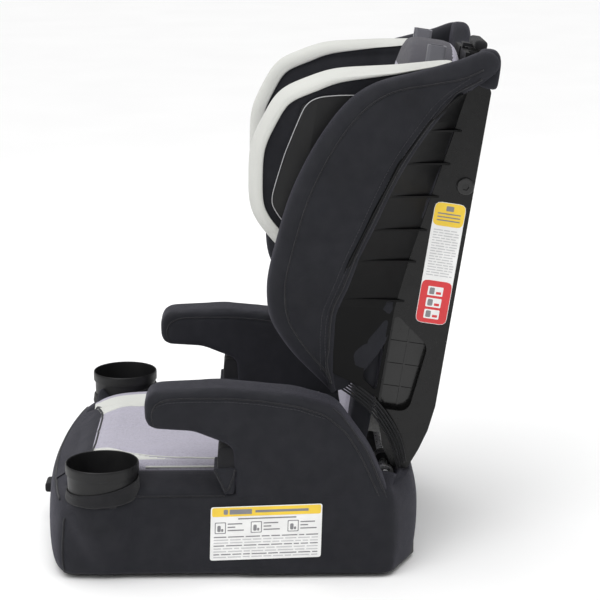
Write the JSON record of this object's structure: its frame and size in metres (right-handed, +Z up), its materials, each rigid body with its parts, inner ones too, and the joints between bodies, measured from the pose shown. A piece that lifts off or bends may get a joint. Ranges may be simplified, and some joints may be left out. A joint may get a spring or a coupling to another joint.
{
  "type": "booster seat",
  "caption": "High-back child booster seat with covered base, armrests, lift-out cups, reclining winged backrest and sliding winged headrest.",
  "frame": {"origin": "on the floor, at the middle of the base tray's flat underside", "axes": "+Z up, -Y the way the child faces, +X the child's left"},
  "size_m": [0.477, 0.5615, 0.6179],
  "materials": {
    "moulded_plastic": "satin moulded",
    "gloss_plastic": "polished moulded",
    "black_fabric": "knitted",
    "elastic": "woven elastic",
    "light_fabric": "knitted",
    "mesh_fabric": "perforated mesh",
    "foam": "bead foam",
    "steel": "plated",
    "guide_plastic": "satin moulded",
    "knob_plastic": "polished moulded",
    "label_film": "printed film",
    "rubber": "matte"
  },
  "bodies": {
    "base": {"armrest_cover_left": "black_fabric", "armrest_cover_right": "black_fabric", "armrest_frame_left": "moulded_plastic", "armrest_frame_right": "moulded_plastic", "base_cover": "black_fabric", "base_feet": "rubber", "base_screws": "steel", "base_shell": "moulded_plastic", "base_tray": "moulded_plastic", "cup_collar_left": "black_fabric", "cup_collar_right": "black_fabric", "hinge_bracket_left": "moulded_plastic", "hinge_bracket_right": "moulded_plastic", "hinge_rod": "steel", "notch_gusset_left": "elastic", "notch_gusset_right": "elastic", "pull_tab": "elastic", "seat_bolster_left": "light_fabric", "seat_bolster_right": "light_fabric", "seat_foam": "foam", "seat_pad": "mesh_fabric", "side_label": "label_film"},
    "backrest": {"back_bolster_left": "light_fabric", "back_bolster_right": "light_fabric", "back_foam": "foam", "back_label": "label_film", "back_pad": "mesh_fabric", "back_shell": "gloss_plastic", "belt_pocket_left": "gloss_plastic", "belt_pocket_right": "gloss_plastic", "height_rack_left": "moulded_plastic", "height_rack_right": "moulded_plastic", "hem_elastic_left": "elastic", "hem_elastic_right": "elastic", "rack_screws": "steel", "side_screw_left": "knob_plastic", "side_screw_right": "knob_plastic", "top_cowl": "black_fabric", "wing_cover_left": "black_fabric", "wing_cover_right": "black_fabric", "wing_frame_left": "gloss_plastic", "wing_frame_right": "gloss_plastic"},
    "headrest": {"belt_guide_left": "guide_plastic", "belt_guide_right": "guide_plastic", "head_band_left": "light_fabric", "head_band_right": "light_fabric", "head_pad": "mesh_fabric", "head_shell": "moulded_plastic", "head_wing_cover_left": "black_fabric", "head_wing_cover_right": "black_fabric", "release_spring": "steel"},
    "release": {"pull_strip": "moulded_plastic", "release_handle": "guide_plastic"},
    "lock": {"lock_bar": "steel"},
    "cup_left": {"cup_left": "gloss_plastic"},
    "cup_right": {"cup_right": "gloss_plastic"}
  },
  "joints": [
    {"name": "back_recline", "type": "hinge", "parent": "base", "child": "backrest", "pos_m": [0, 0.178, 0.108], "axis": [-1, 0, 0], "range_deg": [0, 7.5]},
    {"name": "headrest_height", "type": "slide", "parent": "backrest", "child": "headrest", "axis": [0, 0.153, 0.9882], "range_m": [0, 0.189]},
    {"name": "release_pull", "type": "slide", "parent": "headrest", "child": "release", "axis": [0, 0.153, 0.9882], "range_m": [0, 0.012], "stiffness_N_per_m": 400, "springref_m": -0.004, "deforming": ["release_spring"]},
    {"name": "lock_slide", "type": "slide", "parent": "headrest", "child": "lock", "axis": [0, -0.9882, 0.153], "range_m": [0, 0.005]},
    {"name": "cup_left_lift", "type": "slide", "parent": "base", "child": "cup_left", "axis": [0, 0, 1], "range_m": [0, 0.08]},
    {"name": "cup_right_lift", "type": "slide", "parent": "base", "child": "cup_right", "axis": [0, 0, 1], "range_m": [0, 0.08]}
  ],
  "couplings": [
    {"joint": "lock_slide", "follows": "release_pull", "ratio": 0.41667}
  ]
}
